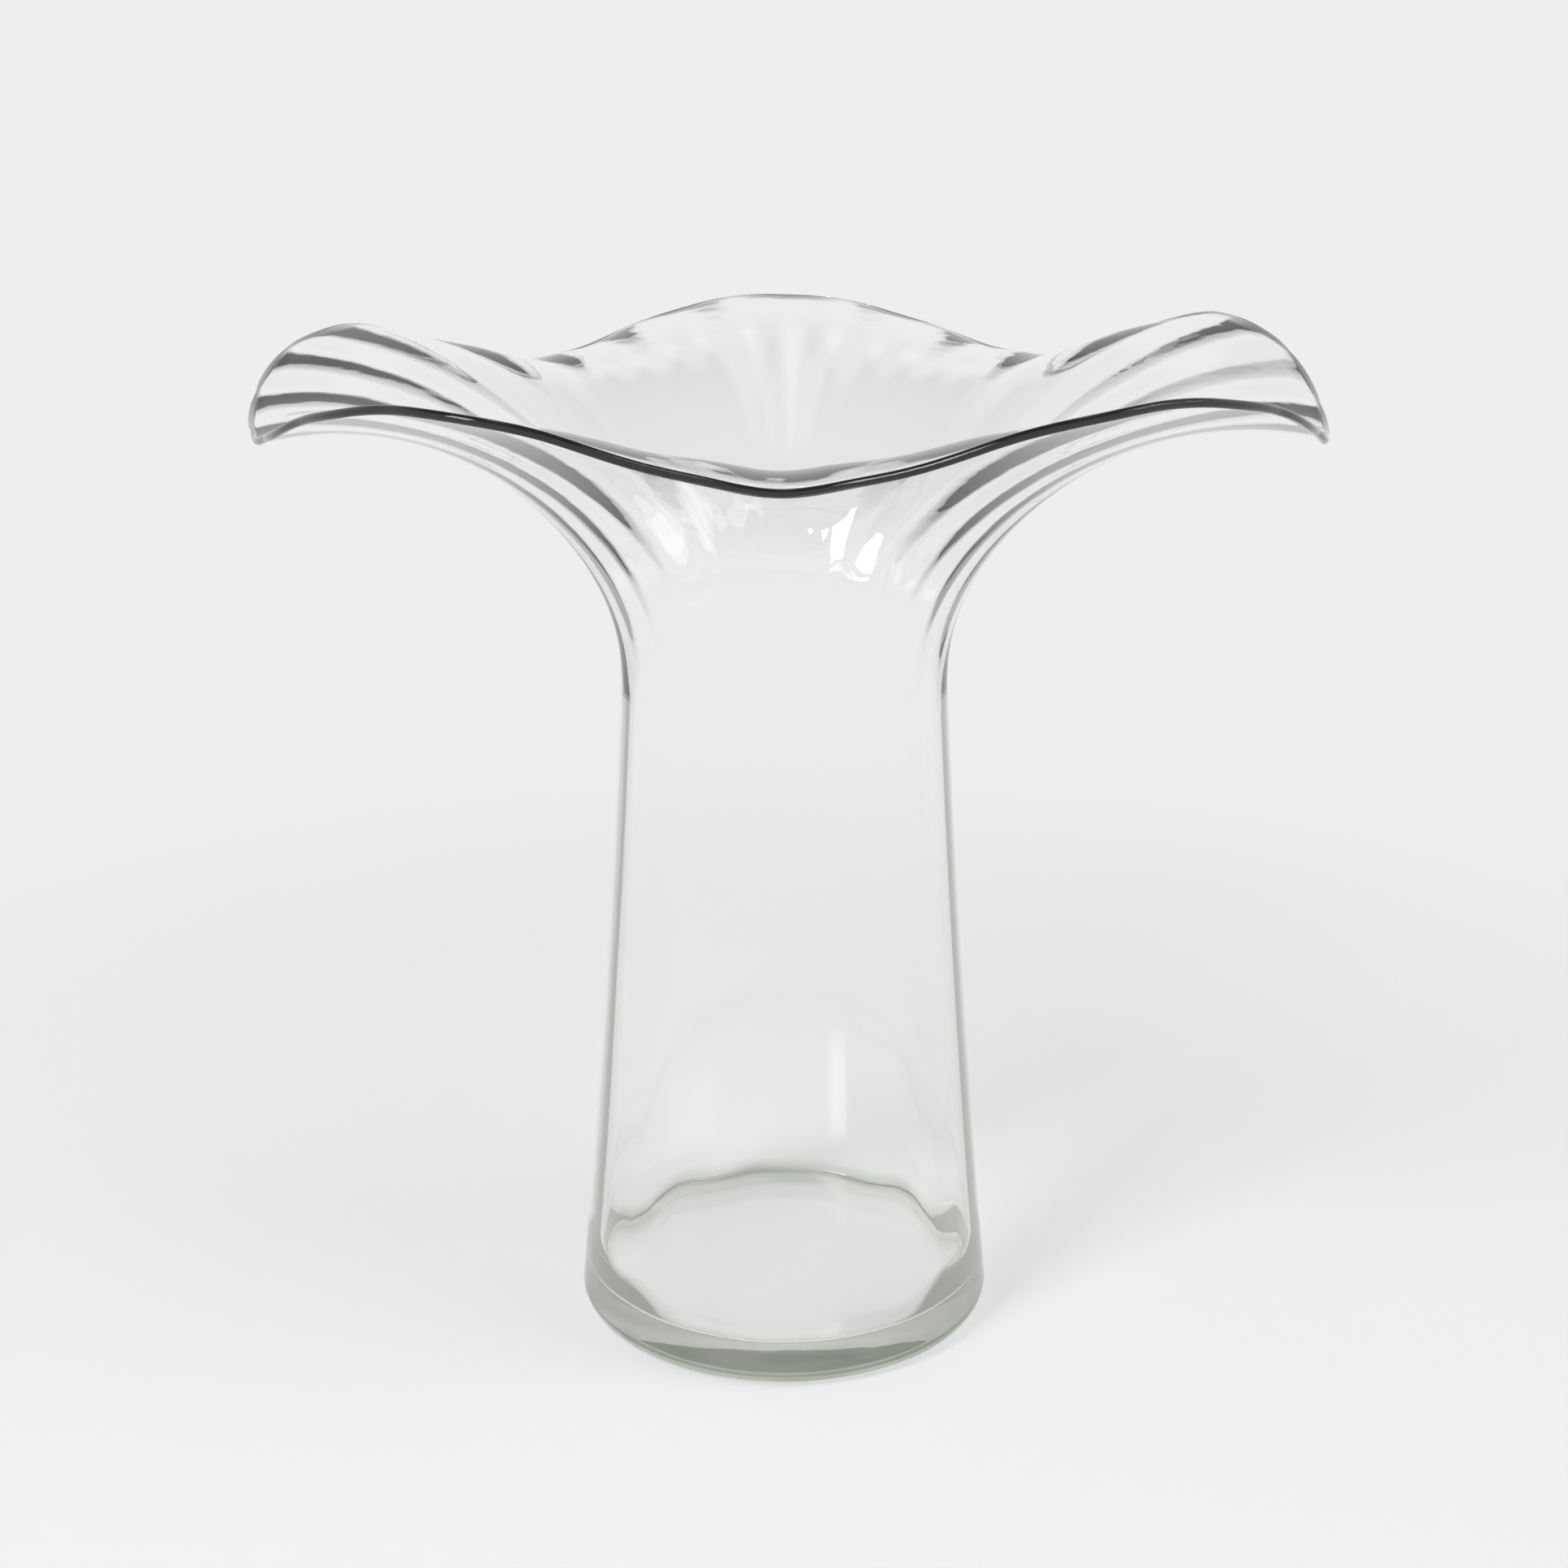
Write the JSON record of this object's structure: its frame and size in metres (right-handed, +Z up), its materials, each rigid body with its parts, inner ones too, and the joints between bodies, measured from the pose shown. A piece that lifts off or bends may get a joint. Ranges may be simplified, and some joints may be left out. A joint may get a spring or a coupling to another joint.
{
  "type": "fan vase",
  "caption": "Clear glass fan vase with a thick round base, a tapering fluted wall and a wide ribbed flare pulled into uneven ruffles.",
  "frame": {"origin": "centre of the flat underside, on the surface that the vase stands on", "axes": "+Z up along the vase's axis; the front ruffle dip faces -Y, and +X is to its right seen from the front"},
  "size_m": [0.2129, 0.2188, 0.2106],
  "materials": {
    "base_glass": "clear, thick, a faint grey green",
    "wall_glass": "clear, polished",
    "flare_glass": "clear, polished, ribbed",
    "lip_glass": "clear, fire polished"
  },
  "bodies": {
    "root": {"thick_base": "base_glass", "tapered_wall": "wall_glass", "ruffled_flare": "flare_glass", "fire_polished_lip": "lip_glass"}
  },
  "joints": []
}
